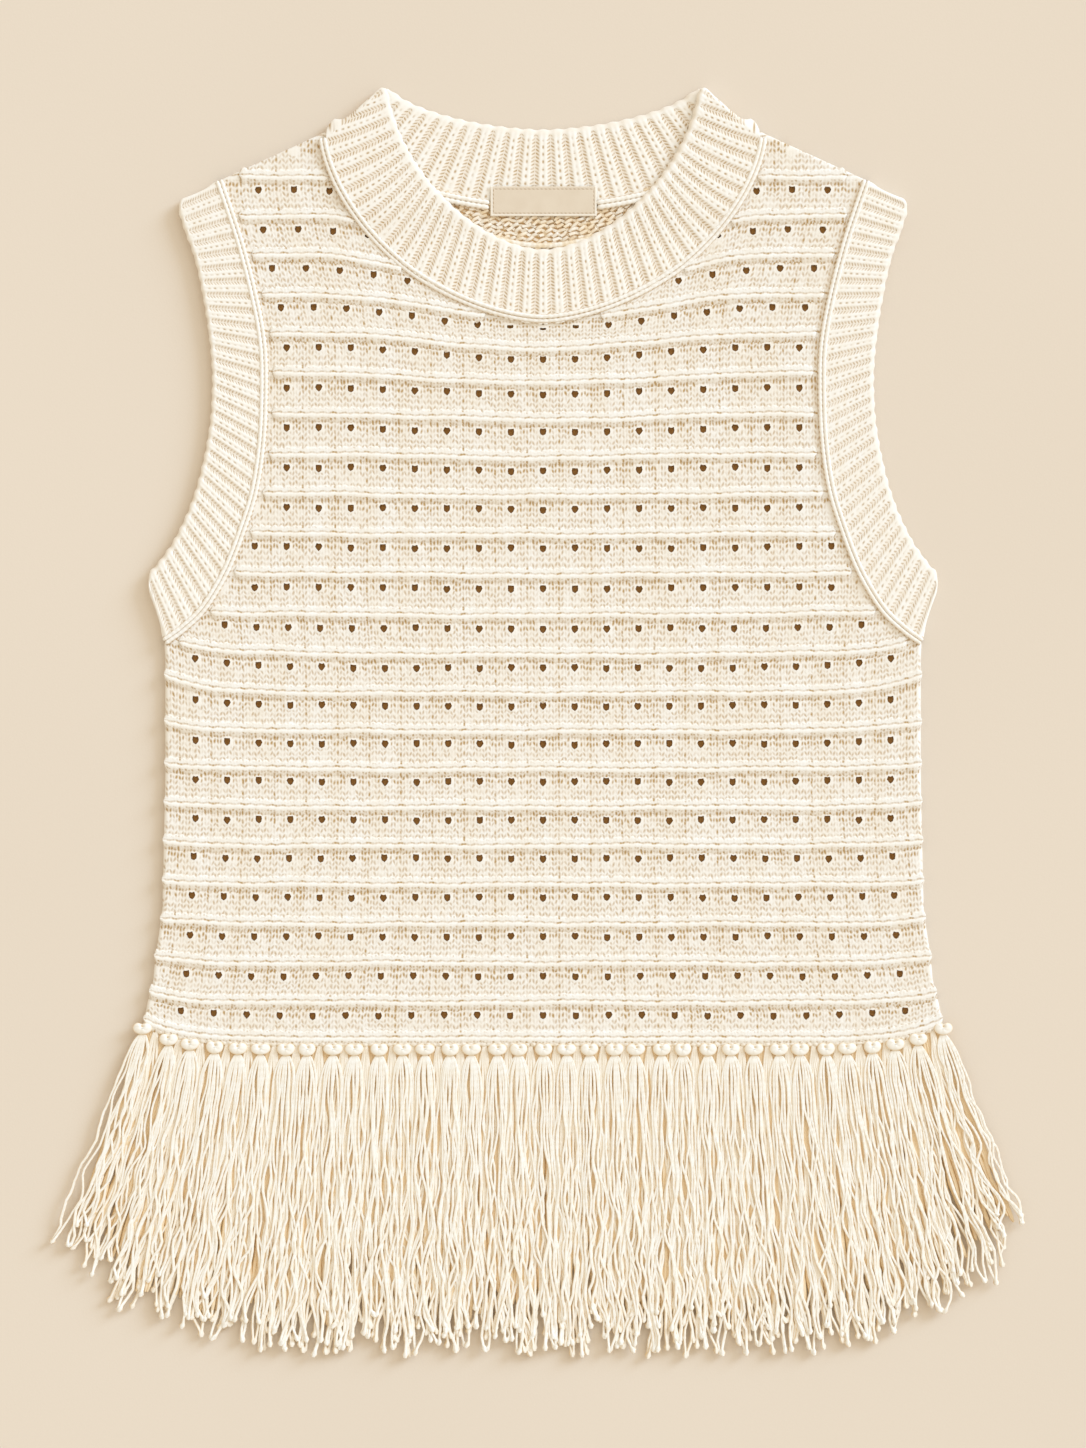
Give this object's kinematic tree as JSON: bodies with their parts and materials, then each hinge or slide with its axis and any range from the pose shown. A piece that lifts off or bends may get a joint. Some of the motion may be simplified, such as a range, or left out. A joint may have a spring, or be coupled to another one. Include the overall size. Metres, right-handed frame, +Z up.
{
  "type": "sleeveless knit blouse laid flat",
  "caption": "Cream sleeveless knit blouse laid flat: welted eyelet body, ribbed neckband and armbands, tasselled fringe hem and a blank neck label.",
  "frame": {"origin": "centre of the footprint, on the surface that the blouse lies on", "axes": "+Y from the hem to the neck, +Z up from the surface through the back and then the front, +X towards the wearer's left arm"},
  "size_m": [0.5536, 0.7382, 0.0085],
  "materials": {
    "body_knit": "matte cotton knit in cream, eyelet rows between raised welts",
    "rib_knit": "matte cotton two by two rib in cream",
    "label_cloth": "smooth woven beige tape, blank",
    "fringe_yarn": "matte cream cotton yarn, cut ends knotted"
  },
  "bodies": {
    "root": {"front_panel": "body_knit", "back_panel": "body_knit", "neckband": "rib_knit", "armband_left": "rib_knit", "armband_right": "rib_knit", "label": "label_cloth", "fringe_front": "fringe_yarn", "fringe_back": "fringe_yarn"}
  },
  "joints": []
}
